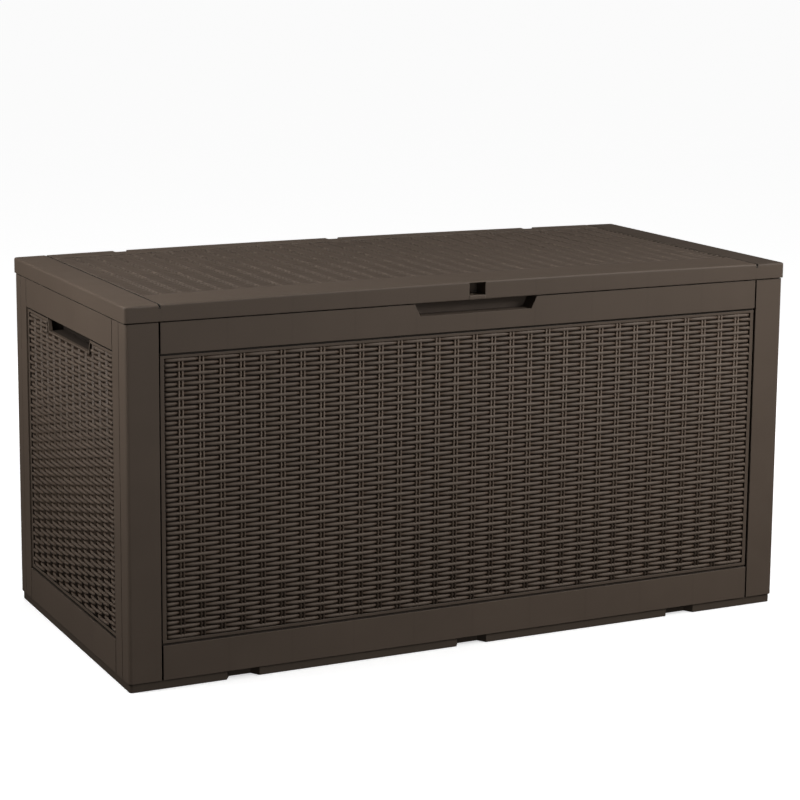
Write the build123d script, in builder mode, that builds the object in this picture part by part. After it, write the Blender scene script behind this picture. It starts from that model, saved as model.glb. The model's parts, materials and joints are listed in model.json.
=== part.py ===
from build123d import *

import os
from math import asin, cos, degrees, radians, sin, sqrt

# A resin deck storage box. X runs along its length, the front faces -Y and Z is up.
# The origin is on the ground, under the middle of the closed box. All sizes are in mm.

# Outer size of the closed box
box_length = 1210
box_depth = 580
box_height = 615

# Heights
plinth_height = 14.5
lid_height = 26
lid_seam = 2
lid_crown = 3.5
lid_edge_top = box_height - lid_crown
lid_bottom = lid_edge_top - lid_height
wall_top = lid_bottom - lid_seam
wall_height = wall_top - plinth_height

# The walls stand in from the lid, and the plinth from the walls
lid_overhang = 2
plinth_inset = 2.4
wall_x = box_length / 2 - lid_overhang
wall_y = box_depth / 2 - lid_overhang

# Corner posts: double-walled angles, with a tongue behind each neighbouring wall panel
post_front = 54
post_side = 61
post_skin = 4.5
tongue_depth = 9
tongue_thickness = 3
tongue_reach = 22
web_thickness = 4
post_corner = 6
post_cap = 3
post_line_inset = 31
post_line_width = 1.6
post_line_depth = 0.6
front_seam = 3
side_seam = 2
seam_chamfer = 2

# Wall panels. Depths are counted inwards from the outer face
front_width = 2 * (wall_x - post_front - front_seam)
side_width = 2 * (wall_y - post_side - side_seam)
top_rail = 49
bottom_rail = 55.5
rail_step = 2.5
border = 6.5
end_border = 8
weave_pit = 3.5
top_groove = 3.6
bottom_groove = 3.4
field_groove_depth = 6
slab_depth = 9
rail_skin = 4
rib_depth = 16
rib_thickness = 3
rib_pitch = 109
belt_depth = 13
flange = 4
pocket_edge = 30
lip_height = 8
lip_depth = 6
lip_thickness = 3
lip_end = 8
cut_past = 1
field_low = bottom_rail
field_high = wall_height - top_rail

# Front finger grip, open at its top under the lid's skirt
grip_top = 225
grip_bottom = 204
grip_height = 20.5
cup_depth = 30
cup_wall = 3
cup_lip_gap = 6
grip_margin = 20

# Side handles, just under the top rail
handle_top = 224
handle_bottom = 208
handle_height = 24
handle_rim = 2.5
handle_margin = 10
handle_high = field_high
handle_low = handle_high - handle_height
handle_room = 28

# Lid
lid_skirt = 4
lid_plate = 7.5
lid_skin = 4
lid_corner = 6
lid_edge = 3
lid_rear_chamfer = 3
lid_front_strip = 90
lid_back_strip = 47
lid_pit = 3.5
groove_x = wall_x - post_front - front_seam / 2
groove_width = 3.6
groove_depth = 5
edge_notch_width = 5.4
edge_notch_depth = 5.8
lid_pit_x = groove_x - 4.5

# Lock window in the lid's skirt, with a pocket behind it and a tongue below the pocket
window_width = 29.5
window_low = lid_bottom + 6.5
window_high = box_height - 2
window_depth = 31
pocket_wall = 3
shackle_radius = 5.5
shackle_y = -box_depth / 2 + 15
window_strip = 0.6
tongue_plate = 4
tongue_width = 28
tongue_setback = 4
tongue_screw_x = 8
tongue_screw_rise = 9

# Hinges
hinge_pitch = 412
hinge_xs = [-hinge_pitch, 0, hinge_pitch]
hinge_y = box_depth / 2 - 9.5
hinge_z = lid_edge_top - 9.5
pin_radius = 2.5
pin_play = 0.08
pin_grip_play = 0.02
body_knuckle_radius = 7
body_knuckle_length = 24
lid_knuckle_radius = 5
knuckle_gap = 1.5
lid_knuckle_length = 11.5
notch_width = 26
notch_depth = 18
leaf_thickness = 4
leaf_width = 60
body_leaf_drop = 50
pad_width = 64
pad_height = 48

# Liner under the lid
liner_x = 585
liner_front = -248
liner_back = 245
liner_bottom = lid_bottom + 10
liner_thickness = 3
liner_panel_step = 1

# Lid stays: slotted arms. Both ends of the linkage are stay_reach from the hinge axis,
# so an arm turns half as far on the lid as the lid turns on the box.
lid_opening = 95
stay_reach = 150
stay_closed_angle = 38
stay_pivot_z = lid_bottom + 1
stay_width = 16
stay_thickness = 4
stay_inner_x = 579
stay_stud_radius = 4
stay_slot_play = 0.3
stay_end = 10
stay_fall = degrees(asin((hinge_z - stay_pivot_z) / stay_reach))
stay_pivot_y = hinge_y - stay_reach * cos(radians(stay_fall))
stud_fall = stay_fall + stay_closed_angle
stud_y = hinge_y - stay_reach * cos(radians(stud_fall))
stud_z = hinge_z - stay_reach * sin(radians(stud_fall))
slot_near = 2 * stay_reach * sin(radians(stay_closed_angle / 2))
slot_far = 2 * stay_reach * sin(radians((stay_closed_angle + lid_opening) / 2))
stay_length = slot_far + stay_end
stud_pad_radius = 18

# Base tray
tray_deck = 3.5
tray_skirt = 4
tray_rib = 3
tray_rib_pitch_x = 108
tray_rib_pitch_y = 112
tray_ribs_x = 11
tray_ribs_y = 5
tray_corner = 5
foot_notch_width = 56
foot_notch_depth = 15
foot_notch_taper = 9.5
foot_notch_pitch = 411
foot_notch_wall = 3
foot_notch_mouth = 12

# Screws
screw_radius = 1.8
screw_head_radius = 4
screw_head = 2.2
screw_tip_gap = 0.5

# Outer faces of the four walls, each with its local Y up from the top of the plinth
front_face = Plane(origin=(0, -wall_y, plinth_height), x_dir=(1, 0, 0), z_dir=(0, -1, 0))
back_face = Plane(origin=(0, wall_y, plinth_height), x_dir=(-1, 0, 0), z_dir=(0, 1, 0))
left_face = Plane(origin=(-wall_x, 0, plinth_height), x_dir=(0, -1, 0), z_dir=(-1, 0, 0))
right_face = Plane(origin=(wall_x, 0, plinth_height), x_dir=(0, 1, 0), z_dir=(1, 0, 0))

os.makedirs("parts", exist_ok=True)


def save(piece, name):
    """Labels a finished piece and writes it as one STEP file."""
    piece.part.label = name
    export_step(piece.part, f"parts/{name}.step")


def trapezoid(top_width, bottom_width, low, high):
    """Adds an upright trapezoid, centred on the sketch's Y axis, to the open sketch."""
    with BuildLine() as outline:
        Polyline(
            (-top_width / 2, high),
            (-bottom_width / 2, low),
            (bottom_width / 2, low),
            (top_width / 2, high),
            close=True,
        )
    make_face(outline.edges())


def band(width, low, high, middle=0):
    """Adds a rectangle between two heights to the open sketch."""
    with Locations((middle, (low + high) / 2)):
        Rectangle(width, high - low)


def rib_places(width):
    """Positions of the upright ribs behind a panel, counted from its middle."""
    count = int((width / 2 - pocket_edge) // rib_pitch)
    return [rib_pitch * step for step in range(-count, count + 1)]


def wall_panel(face, width, rib_top, solid_middle=0):
    """A wall: smooth rails, a sunk field for the weave, and ribs and flanges behind.

    The top rail stays solid over solid_middle, where a grip or handle needs its full depth.
    """
    back = face.offset(-slab_depth)
    inner_width = width - 2 * pocket_edge
    third = (field_high - field_low) / 3
    with BuildPart() as panel:
        with BuildSketch(face):
            band(width, 0, wall_height)
        extrude(amount=-slab_depth)
        # The field lies below the rails, and the weave's pit below the field's border
        with BuildSketch(face):
            band(width, field_low, field_high)
        extrude(amount=-rail_step, mode=Mode.SUBTRACT)
        with BuildSketch(face.offset(-rail_step)):
            band(width - 2 * border, field_low + end_border, field_high - end_border)
        extrude(amount=-weave_pit, mode=Mode.SUBTRACT)
        # Grooves that part the field from the rails
        with BuildSketch(face):
            band(width, field_low, field_low + bottom_groove)
            band(width, field_high - top_groove, field_high)
        extrude(amount=-field_groove_depth, mode=Mode.SUBTRACT)
        # Both rails are hollow behind
        with BuildSketch(back):
            band(inner_width, flange, field_low - flange)
            side_run = (inner_width - solid_middle) / 2
            for side in (-1, 1):
                middle = side * (solid_middle + side_run) / 2
                band(side_run, field_high + flange, wall_height - flange, middle)
        extrude(amount=slab_depth - rail_skin, mode=Mode.SUBTRACT)
        # Flanges along the bottom and the top
        with BuildSketch(back):
            band(inner_width, 0, flange)
            band(inner_width, wall_height - flange, wall_height)
        extrude(amount=-(rib_depth - slab_depth))
        # Two belts across the ribs, and the upright ribs
        with BuildSketch(back):
            for height in (field_low + third, field_low + 2 * third):
                band(inner_width, height - rib_thickness / 2, height + rib_thickness / 2)
        extrude(amount=-(belt_depth - slab_depth))
        with BuildSketch(face.offset(-rail_skin)):
            for place in rib_places(width):
                band(rib_thickness, flange, field_low - flange, place)
        extrude(amount=-(rib_depth - rail_skin))
        with BuildSketch(back):
            for place in rib_places(width):
                band(rib_thickness, field_low - flange, rib_top, place)
        extrude(amount=-(rib_depth - slab_depth))
    return panel


def rain_lip(face, spans):
    """Upstands on a panel's top edge that stand inside the lid's skirt."""
    with BuildPart() as lip:
        with BuildSketch(face.offset(-lip_depth)):
            for middle, width in spans:
                band(width, wall_height, wall_height + lip_height, middle)
        extrude(amount=-lip_thickness)
    return lip


def corner_post(side_x, side_y):
    """A hollow angle post. Its tongues lie behind the edges of the two panels beside it."""
    inner = tongue_depth + tongue_thickness
    with BuildPart() as post:
        with BuildSketch(Plane.XY.offset(plinth_height)):
            with Locations((wall_x, wall_y)):
                Rectangle(post_front, inner, align=(Align.MAX, Align.MAX))
                Rectangle(inner, post_side, align=(Align.MAX, Align.MAX))
            with Locations((wall_x - post_front + web_thickness, wall_y - inner)):
                Rectangle(web_thickness + tongue_reach, tongue_thickness, align=(Align.MAX, Align.MIN))
            with Locations((wall_x - inner, wall_y - post_side + web_thickness)):
                Rectangle(tongue_thickness, web_thickness + tongue_reach, align=(Align.MIN, Align.MAX))
        extrude(amount=wall_height)
        # The space between the two skins, closed at the top by a cap
        with BuildSketch(Plane.XY.offset(plinth_height)):
            hollow = tongue_depth - post_skin
            with Locations((wall_x - post_skin, wall_y - post_skin)):
                Rectangle(post_front - post_skin - web_thickness, hollow, align=(Align.MAX, Align.MAX))
                Rectangle(hollow, post_side - post_skin - web_thickness, align=(Align.MAX, Align.MAX))
        extrude(amount=wall_height - post_cap, mode=Mode.SUBTRACT)
        outer_edge = post.edges().filter_by(Axis.Z).sort_by(Axis.X)[-4:].sort_by(Axis.Y)[-1]
        fillet(outer_edge, post_corner)
        # A fine upright line down the post's side face
        with BuildSketch(Plane.XY.offset(plinth_height)):
            with Locations((wall_x, wall_y - post_line_inset)):
                Rectangle(post_line_depth, post_line_width, align=(Align.MAX, Align.CENTER))
        extrude(amount=wall_height, mode=Mode.SUBTRACT)
        if side_y > 0:
            # The rear top edge is bevelled away from the lid's swing
            with BuildSketch(Plane.YZ.offset(wall_x - post_front)):
                with BuildLine():
                    Polyline(
                        (wall_y, wall_top - seam_chamfer),
                        (wall_y, wall_top),
                        (wall_y - seam_chamfer, wall_top),
                        close=True,
                    )
                make_face()
            extrude(amount=post_front, mode=Mode.SUBTRACT)
        if side_x < 0:
            mirror(about=Plane.YZ, mode=Mode.REPLACE)
        if side_y < 0:
            mirror(about=Plane.XZ, mode=Mode.REPLACE)
    return post


def screws(places):
    """Pan-head screws in one group. A place is the head's seat, its direction and its bite."""
    with BuildPart() as group:
        for seat, inward, bite in places:
            head = Plane(origin=seat, z_dir=inward)
            with BuildSketch(head):
                Circle(screw_radius)
            extrude(amount=bite)
            with BuildSketch(head):
                Circle(screw_head_radius)
            extrude(amount=-screw_head)
    return group


# Base tray: a deck on a skirt and a grid of ribs, with hand notches along the front and back
tray_x = wall_x - plinth_inset
tray_y = wall_y - plinth_inset
tray_under = plinth_height - tray_deck
notch_xs = [-foot_notch_pitch, 0, foot_notch_pitch]


def notch_plans(side, half, depth):
    """The notches of one long side in plan, from the tray's edge inwards. Works in an open sketch."""
    far_half = half - foot_notch_taper * depth / foot_notch_depth
    mouth_y = side * tray_y
    far_y = side * (tray_y - depth)
    with Locations(*[(x, 0) for x in notch_xs]):
        Polygon((-half, mouth_y), (half, mouth_y), (far_half, far_y), (-far_half, far_y), align=None)


with BuildPart() as base_tray:
    with BuildSketch():
        Rectangle(2 * tray_x, 2 * tray_y)
    extrude(amount=plinth_height)
    fillet(base_tray.edges().filter_by(Axis.Z), tray_corner)
    with BuildSketch():
        Rectangle(2 * (tray_x - tray_skirt), 2 * (tray_y - tray_skirt))
    extrude(amount=tray_under, mode=Mode.SUBTRACT)
    # Rib grid under the deck
    with BuildSketch():
        with GridLocations(tray_rib_pitch_x, 0, tray_ribs_x, 1):
            Rectangle(tray_rib, 2 * tray_y)
        with GridLocations(0, tray_rib_pitch_y, 1, tray_ribs_y):
            Rectangle(2 * tray_x, tray_rib)
    extrude(amount=tray_under)
    # Boxed-in notches that narrow inwards, full height at the mouth and under the deck further in
    for side in (-1, 1):
        with BuildSketch():
            notch_plans(side, foot_notch_width / 2 + foot_notch_wall, foot_notch_depth + foot_notch_wall)
        extrude(amount=tray_under)
        with BuildSketch():
            notch_plans(side, foot_notch_width / 2, foot_notch_depth)
        extrude(amount=tray_under, mode=Mode.SUBTRACT)
        with BuildSketch():
            notch_plans(side, foot_notch_width / 2, foot_notch_mouth)
        extrude(amount=plinth_height, mode=Mode.SUBTRACT)
save(base_tray, "base_tray")

# Front panel, with the finger grip cut down from its top edge
grip_low = wall_height - grip_height
lip_gap = grip_top + 2 * (cup_wall + cup_lip_gap)
lip_run = (front_width - 2 * lip_end - lip_gap) / 2
with BuildPart() as front_panel:
    add(wall_panel(front_face, front_width, field_high, grip_top + 2 * grip_margin).part)
    add(rain_lip(front_face, [(side * (lip_gap + lip_run) / 2, lip_run) for side in (-1, 1)]).part)
    with BuildSketch(front_face):
        trapezoid(grip_top, grip_bottom, grip_low, wall_height)
    extrude(amount=-(rib_depth + cut_past), mode=Mode.SUBTRACT)
    with BuildSketch(front_face.offset(-slab_depth)):
        band(grip_top + 2 * cup_wall, wall_height - flange - cut_past, wall_height)
    extrude(amount=-(rib_depth - slab_depth), mode=Mode.SUBTRACT)
save(front_panel, "front_panel")

# Cup behind the finger grip, open towards the front and upwards
with BuildPart() as front_grip_cup:
    with BuildSketch(front_face.offset(-slab_depth)):
        trapezoid(grip_top + 2 * cup_wall, grip_bottom + 2 * cup_wall, grip_low - cup_wall, wall_height)
    extrude(amount=-(cup_depth + cup_wall - slab_depth))
    with BuildSketch(front_face.offset(-slab_depth)):
        trapezoid(grip_top, grip_bottom, grip_low, wall_height)
    extrude(amount=-(cup_depth - slab_depth), mode=Mode.SUBTRACT)
save(front_grip_cup, "front_grip_cup")

# Lock tongue: an angle on the cup's rear wall, with the padlock's eye above the grip
tongue_front = -wall_y + tongue_setback
tongue_back = -wall_y + cup_depth + cup_wall
tongue_low = lid_bottom - 1
with BuildPart() as lock_tongue:
    with BuildSketch(Plane.YZ):
        with BuildLine():
            Polyline(
                (tongue_front, tongue_low),
                (tongue_front, tongue_low + tongue_plate),
                (tongue_back + tongue_plate, tongue_low + tongue_plate),
                (tongue_back + tongue_plate, plinth_height + grip_low),
                (tongue_back, plinth_height + grip_low),
                (tongue_back, tongue_low),
                close=True,
            )
        make_face()
    extrude(amount=tongue_width / 2, both=True)
    with BuildSketch(Plane.XY.offset(tongue_low)):
        with Locations((0, shackle_y)):
            Circle(shackle_radius)
    extrude(amount=tongue_plate, mode=Mode.SUBTRACT)
save(lock_tongue, "lock_tongue")

# Side panels, with a handle opening under the top rail and a pad for the stay's stud
for name, face, side in (("left", left_face, -1), ("right", right_face, 1)):
    handle_rib_top = handle_low - 2 * cup_wall
    with BuildPart() as side_panel:
        add(wall_panel(face, side_width, handle_rib_top, handle_top + 2 * handle_margin).part)
        add(rain_lip(face, [(0, side_width - 2 * lip_end)]).part)
        with BuildSketch(face.offset(-rail_step)):
            trapezoid(
                handle_top + 2 * handle_rim,
                handle_bottom + 2 * handle_rim,
                handle_low - handle_rim,
                field_high,
            )
        extrude(amount=-(slab_depth - rail_step))
        with BuildSketch(face):
            trapezoid(handle_top, handle_bottom, handle_low, handle_high)
        extrude(amount=-slab_depth, mode=Mode.SUBTRACT)
        with BuildSketch(face.offset(-rail_step - weave_pit)):
            with Locations((side * stud_y, stud_z - plinth_height)):
                Circle(stud_pad_radius)
        extrude(amount=-(rib_depth - rail_step - weave_pit))
    save(side_panel, f"{name}_side_panel")

    # Cup behind the handle, taller than its opening, so that fingers close behind the rail
    with BuildPart() as handle_cup:
        with BuildSketch(face.offset(-slab_depth)):
            band(handle_top + 2 * cup_wall, handle_low - cup_wall, handle_high + handle_room)
        extrude(amount=-(cup_depth + cup_wall - slab_depth))
        with BuildSketch(face.offset(-slab_depth)):
            band(handle_top, handle_low, handle_high + handle_room - cup_wall)
        extrude(amount=-(cup_depth - slab_depth), mode=Mode.SUBTRACT)
    save(handle_cup, f"{name}_handle_cup")

# Rear panel, with pads for the hinge leaves and a bevelled top edge
with BuildPart() as back_panel:
    add(wall_panel(back_face, front_width, field_high).part)
    with BuildSketch(back_face.offset(-rail_skin)):
        for x in hinge_xs:
            band(pad_width, wall_height - pad_height, wall_height, x)
    extrude(amount=-(rib_depth - rail_skin))
    with BuildSketch(Plane.YZ.offset(-front_width / 2)):
        with BuildLine():
            Polyline(
                (wall_y, wall_top - seam_chamfer),
                (wall_y, wall_top),
                (wall_y - seam_chamfer, wall_top),
                close=True,
            )
        make_face()
    extrude(amount=front_width, mode=Mode.SUBTRACT)
save(back_panel, "back_panel")

for name_y, side_y in (("front", -1), ("back", 1)):
    for name_x, side_x in (("left", -1), ("right", 1)):
        save(corner_post(side_x, side_y), f"{name_y}_{name_x}_post")

# Lid shell
lid_x = box_length / 2
lid_y = box_depth / 2
pit_front = -lid_y + lid_front_strip
pit_back = lid_y - lid_back_strip
plate_bottom = lid_edge_top - lid_plate
skin_bottom = lid_edge_top - lid_skin
ledge = 4
crown_radius = (lid_x**2 + lid_crown**2) / (2 * lid_crown)


def crown_at(x):
    """Height of the lid's crowned top, which falls from the middle towards both ends."""
    return box_height - crown_radius + sqrt(crown_radius**2 - x**2)


def crowned(half_width, flat, drop=0):
    """Adds a shape to the open upright sketch, between a flat edge and the crown lowered by drop."""
    side = crown_at(half_width) - drop
    with BuildLine() as outline:
        Polyline((half_width, side), (half_width, flat), (-half_width, flat), (-half_width, side))
        ThreePointArc((-half_width, side), (0, box_height - drop), (half_width, side))
    make_face(outline.edges())


def nicks(width, depth):
    """Adds a V in the lid's top above both seams to the open upright sketch."""
    top = crown_at(groove_x)
    reach = width / 2 * (depth + cut_past) / depth
    for x in (-groove_x, groove_x):
        with BuildLine() as outline:
            Polyline((x - reach, top + cut_past), (x, top - depth), (x + reach, top + cut_past), close=True)
        make_face(outline.edges())


with BuildPart() as lid_shell:
    with BuildSketch(Plane.XZ.offset(-lid_y)):
        crowned(lid_x, lid_bottom)
    extrude(amount=2 * lid_y)
    fillet(lid_shell.edges().filter_by(Axis.Z), lid_corner)
    top_edges = lid_shell.edges().filter_by(lambda edge: edge.center().Z > lid_edge_top - lid_edge)
    fillet(top_edges, lid_edge)
    # Hollow underneath: a thicker plate under the weave, a thinner skin around it
    with BuildSketch(Plane.XY.offset(lid_bottom)):
        Rectangle(2 * (lid_x - lid_skirt), 2 * (lid_y - lid_skirt))
    extrude(amount=plate_bottom - lid_bottom, mode=Mode.SUBTRACT)
    end_run = lid_x - lid_skirt - groove_x - ledge
    with BuildSketch(Plane.XY.offset(plate_bottom)):
        for side in (-1, 1):
            with Locations((side * (groove_x + ledge + end_run / 2), 0)):
                Rectangle(end_run, 2 * (lid_y - lid_skirt))
        with Locations((0, (-lid_y + lid_skirt + pit_front - ledge) / 2)):
            Rectangle(2 * groove_x, lid_front_strip - lid_skirt - ledge)
        with Locations((0, (lid_y - lid_skirt + pit_back + ledge) / 2)):
            Rectangle(2 * groove_x, lid_back_strip - lid_skirt - ledge)
    extrude(amount=skin_bottom - plate_bottom, mode=Mode.SUBTRACT)
    # Pit for the weave, equally deep all along the crown
    with BuildSketch(Plane.XZ.offset(-pit_back)):
        crowned(lid_pit_x, box_height + cut_past, lid_pit)
    extrude(amount=pit_back - pit_front, mode=Mode.SUBTRACT)
    # Grooves from front to back, in line with the seams below, and their nicks in both edges
    with BuildSketch(Plane.XZ.offset(-lid_y)):
        nicks(groove_width, groove_depth)
    extrude(amount=2 * lid_y, mode=Mode.SUBTRACT)
    for start in (-lid_y, lid_y - edge_notch_width):
        with BuildSketch(Plane.XZ.offset(-start - edge_notch_width)):
            nicks(edge_notch_width, edge_notch_depth)
        extrude(amount=edge_notch_width, mode=Mode.SUBTRACT)
    # Bevel along the rear bottom edge, so that the skirt clears the wall as the lid opens
    with BuildSketch(Plane.YZ.offset(-lid_x)):
        with BuildLine():
            Polyline(
                (lid_y, lid_bottom),
                (lid_y - lid_rear_chamfer, lid_bottom),
                (lid_y, lid_bottom + lid_rear_chamfer),
                close=True,
            )
        make_face()
    extrude(amount=2 * lid_x, mode=Mode.SUBTRACT)
    # Lock pocket behind a window in the front skirt, with a hole for the shackle in its floor
    pocket_mid = (window_low + window_high) / 2
    with BuildSketch(Plane.XY.offset(window_low - pocket_wall)):
        with Locations((0, -lid_y + (window_depth + pocket_wall) / 2 + lid_skirt / 2)):
            Rectangle(window_width + 2 * pocket_wall, window_depth + pocket_wall - lid_skirt)
    extrude(amount=skin_bottom - window_low + pocket_wall)
    with BuildSketch(Plane.XZ.offset(lid_y)):
        with Locations((0, pocket_mid)):
            Rectangle(window_width, window_high - window_low)
    extrude(amount=-window_depth, mode=Mode.SUBTRACT)
    with BuildSketch(Plane.XY.offset(window_low - pocket_wall)):
        with Locations((0, shackle_y)):
            Circle(shackle_radius)
    extrude(amount=pocket_wall, mode=Mode.SUBTRACT)
    # A thin raised strip on the skirt under the window
    with BuildSketch(Plane.XZ.offset(lid_y)):
        band(window_width, lid_bottom, window_low)
    extrude(amount=window_strip)
    # Notches in the rear edge for the hinge knuckles
    with BuildSketch(Plane.XY.offset(lid_bottom)):
        with Locations(*[(x, lid_y - notch_depth / 2) for x in hinge_xs]):
            Rectangle(notch_width, notch_depth)
    extrude(amount=box_height - lid_bottom, mode=Mode.SUBTRACT)
save(lid_shell, "lid_shell")

# Liner under the lid: a thin plate with a rib grid above it and sunk panels below
liner_depth = liner_back - liner_front
liner_mid = (liner_back + liner_front) / 2
liner_bays = 4
bay_pitch = 2 * liner_x / liner_bays
bay_margin = 56
with BuildPart() as lid_liner:
    with BuildSketch(Plane.XY.offset(liner_bottom)):
        with Locations((0, liner_mid)):
            RectangleRounded(2 * liner_x, liner_depth, lid_corner)
    extrude(amount=liner_thickness)
    with BuildSketch(Plane.XY.offset(liner_bottom + liner_thickness)):
        with Locations((0, liner_mid)):
            with GridLocations(bay_pitch, 0, liner_bays - 1, 1):
                Rectangle(rib_thickness, liner_depth - 2 * ledge)
            with GridLocations(0, liner_depth / 3, 1, 3):
                Rectangle(2 * (groove_x - ledge), rib_thickness)
    extrude(amount=plate_bottom - liner_bottom - liner_thickness)
    with BuildSketch(Plane.XY.offset(liner_bottom)):
        with Locations((0, liner_mid)):
            with GridLocations(bay_pitch, 0, liner_bays, 1):
                RectangleRounded(bay_pitch - bay_margin, liner_depth - bay_margin * 2, lid_corner * 2)
    extrude(amount=liner_panel_step, mode=Mode.SUBTRACT)
save(lid_liner, "lid_liner")

# Hinges. A lid leaf and a body leaf share one pin, which the body leaf holds
body_leaf_top = wall_top
leaf_face = wall_y - rib_depth
neck_half = body_knuckle_length / 2
lid_leaf_back = lid_y - notch_depth - ledge
lid_leaf_front = 250
leaf_corner = 4
knuckle_start = neck_half + knuckle_gap
pin_end = 0.5
pin_half = knuckle_start + lid_knuckle_length + pin_end
pin_head_radius = 4
pin_head = 1.5
for name, x in zip(("left", "middle", "right"), hinge_xs):
    with BuildPart() as body_leaf:
        with BuildSketch(Plane.XZ.offset(-leaf_face)):
            with Locations((x, body_leaf_top - body_leaf_drop / 2)):
                RectangleRounded(leaf_width, body_leaf_drop, leaf_corner)
        extrude(amount=leaf_thickness)
        with BuildSketch(Plane.YZ.offset(x - neck_half)):
            with BuildLine():
                Polyline(
                    (leaf_face - leaf_thickness, wall_top - 2 * leaf_thickness),
                    (leaf_face, wall_top - 2 * leaf_thickness),
                    (leaf_face, wall_top),
                    (hinge_y + body_knuckle_radius, wall_top),
                    (hinge_y + body_knuckle_radius, hinge_z),
                    (hinge_y - body_knuckle_radius, hinge_z),
                    (hinge_y - body_knuckle_radius, wall_top + 2 * leaf_thickness),
                    (leaf_face - leaf_thickness, wall_top + leaf_thickness),
                    close=True,
                )
            make_face()
            with Locations((hinge_y, hinge_z)):
                Circle(body_knuckle_radius)
        extrude(amount=body_knuckle_length)
        with BuildSketch(Plane.YZ.offset(x - neck_half)):
            with Locations((hinge_y, hinge_z)):
                Circle(pin_radius + pin_grip_play)
        extrude(amount=body_knuckle_length, mode=Mode.SUBTRACT)
    save(body_leaf, f"hinge_body_leaf_{name}")

    with BuildPart() as lid_leaf:
        with BuildSketch(Plane.XY.offset(skin_bottom)):
            with Locations((x, (lid_leaf_front + lid_leaf_back) / 2)):
                Rectangle(leaf_width, lid_leaf_back - lid_leaf_front)
        extrude(amount=-leaf_thickness)
        for start in (x - knuckle_start - lid_knuckle_length, x + knuckle_start):
            with BuildSketch(Plane.YZ.offset(start)):
                with Locations(((lid_leaf_back + hinge_y) / 2, skin_bottom - leaf_thickness / 2)):
                    Rectangle(hinge_y - lid_leaf_back, leaf_thickness)
                with Locations((hinge_y, hinge_z)):
                    Circle(lid_knuckle_radius)
            extrude(amount=lid_knuckle_length)
            with BuildSketch(Plane.YZ.offset(start)):
                with Locations((hinge_y, hinge_z)):
                    Circle(pin_radius + pin_play)
            extrude(amount=lid_knuckle_length, mode=Mode.SUBTRACT)
    save(lid_leaf, f"hinge_lid_leaf_{name}")

    with BuildPart() as pin:
        with BuildSketch(Plane.YZ.offset(x - pin_half)):
            with Locations((hinge_y, hinge_z)):
                Circle(pin_radius)
        extrude(amount=2 * pin_half)
        for start in (x - pin_half - pin_head, x + pin_half):
            with BuildSketch(Plane.YZ.offset(start)):
                with Locations((hinge_y, hinge_z)):
                    Circle(pin_head_radius)
            extrude(amount=pin_head)
    save(pin, f"hinge_pin_{name}")

# Lid stays. Each arm hangs from a stud on the lid, and its slot slides on a stud on the wall
arm_outer_x = stay_inner_x + stay_thickness
stay_play = 0.5
ear_gap = 1
ear_thickness = 4
ear_outer_x = stay_inner_x - ear_gap
ear_radius = 9
bracket_width = 44
bracket_run = 18
bracket_plate = 3
stud_flange_radius = 14
stud_head_radius = 8
stud_head = 3
pivot_head_radius = 6.5
pivot_head = 2
stud_face_x = wall_x - rib_depth
slot_middle = (slot_near + slot_far) / 2
arm_y = stud_y - stay_pivot_y
arm_z = stud_z - stay_pivot_z
for name, side in (("left", -1), ("right", 1)):
    across = Plane(
        origin=(side * stay_inner_x, stay_pivot_y, stay_pivot_z),
        x_dir=(0, arm_y, arm_z),
        z_dir=(side, 0, 0),
    )
    with BuildPart() as stay_arm:
        with BuildSketch(across):
            with Locations((stay_length / 2, 0)):
                SlotCenterToCenter(stay_length, stay_width)
            Circle(stay_stud_radius + pin_play, mode=Mode.SUBTRACT)
            with Locations((slot_middle, 0)):
                SlotCenterToCenter(
                    slot_far - slot_near,
                    2 * (stay_stud_radius + stay_slot_play),
                    mode=Mode.SUBTRACT,
                )
        extrude(amount=stay_thickness)
    save(stay_arm, f"stay_arm_{name}")

    with BuildPart() as stay_stud:
        wall_pad = Plane(origin=(side * stud_face_x, stud_y, stud_z), z_dir=(-side, 0, 0))
        flange_height = stud_face_x - arm_outer_x - stay_play
        shaft_height = flange_height + stay_thickness + 2 * stay_play
        with BuildSketch(wall_pad):
            Circle(stud_flange_radius)
        extrude(amount=flange_height)
        with BuildSketch(wall_pad):
            Circle(stay_stud_radius)
        extrude(amount=shaft_height)
        with BuildSketch(wall_pad.offset(shaft_height)):
            Circle(stud_head_radius)
        extrude(amount=stud_head)
    save(stay_stud, f"stay_stud_{name}")

    with BuildPart() as lid_bracket:
        with BuildSketch(Plane.XY.offset(liner_bottom)):
            with Locations((side * (ear_outer_x - bracket_run / 2), stay_pivot_y)):
                Rectangle(bracket_run, bracket_width)
        extrude(amount=-bracket_plate)
        ear = Plane(
            origin=(side * (ear_outer_x - ear_thickness), stay_pivot_y, stay_pivot_z),
            x_dir=(0, 1, 0),
            z_dir=(side, 0, 0),
        )
        with BuildSketch(ear):
            Circle(ear_radius)
            with Locations((0, side * (liner_bottom - stay_pivot_z) / 2)):
                Rectangle(2 * ear_radius, liner_bottom - stay_pivot_z)
        extrude(amount=ear_thickness)
        with BuildSketch(ear):
            Circle(stay_stud_radius)
        pivot_run = ear_thickness + ear_gap + stay_thickness + stay_play
        extrude(amount=pivot_run)
        with BuildSketch(ear.offset(pivot_run)):
            Circle(pivot_head_radius)
        extrude(amount=pivot_head)
    save(lid_bracket, f"stay_lid_bracket_{name}")

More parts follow.
